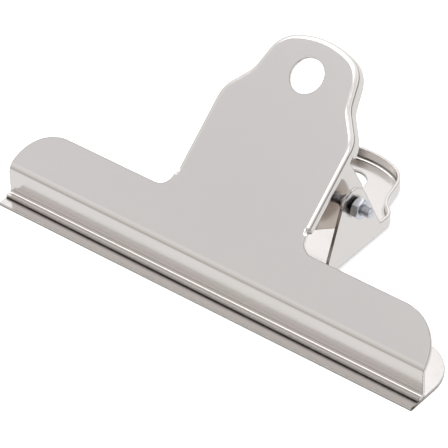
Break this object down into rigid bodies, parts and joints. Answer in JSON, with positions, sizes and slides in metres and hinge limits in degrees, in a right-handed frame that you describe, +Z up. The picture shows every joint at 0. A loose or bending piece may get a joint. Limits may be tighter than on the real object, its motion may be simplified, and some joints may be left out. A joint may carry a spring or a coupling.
{
  "type": "board clip",
  "caption": "Wide sheet-metal board clip: pressed steel plates hinged on a long screw and closed by a torsion spring, with a hang hole in each handle.",
  "frame": {"origin": "middle of the footprint, on the surface that the base plate lies on", "axes": "+X along the jaw and the pivot screw, towards the nut; +Y from the jaw towards the handles; +Z up"},
  "size_m": [0.145, 0.079, 0.0549],
  "materials": {
    "nickel": "bright nickel plate on pressed sheet steel",
    "zinc": "bluish zinc plate",
    "spring_steel": "drawn spring wire, plain"
  },
  "bodies": {
    "base": {"base_plate": "nickel", "pivot_bolt": "zinc", "pivot_nut": "zinc", "torsion_spring": "spring_steel"},
    "upper": {"upper_plate": "nickel"}
  },
  "joints": [
    {"name": "jaw_pivot", "type": "hinge", "parent": "base", "child": "upper", "pos_m": [0, 0.00225, 0.018], "axis": [-1, 0, 0], "range_deg": [0, 45], "stiffness_Nm_per_rad": 0.8, "springref_deg": -34.38, "deforming": ["torsion_spring"]}
  ]
}
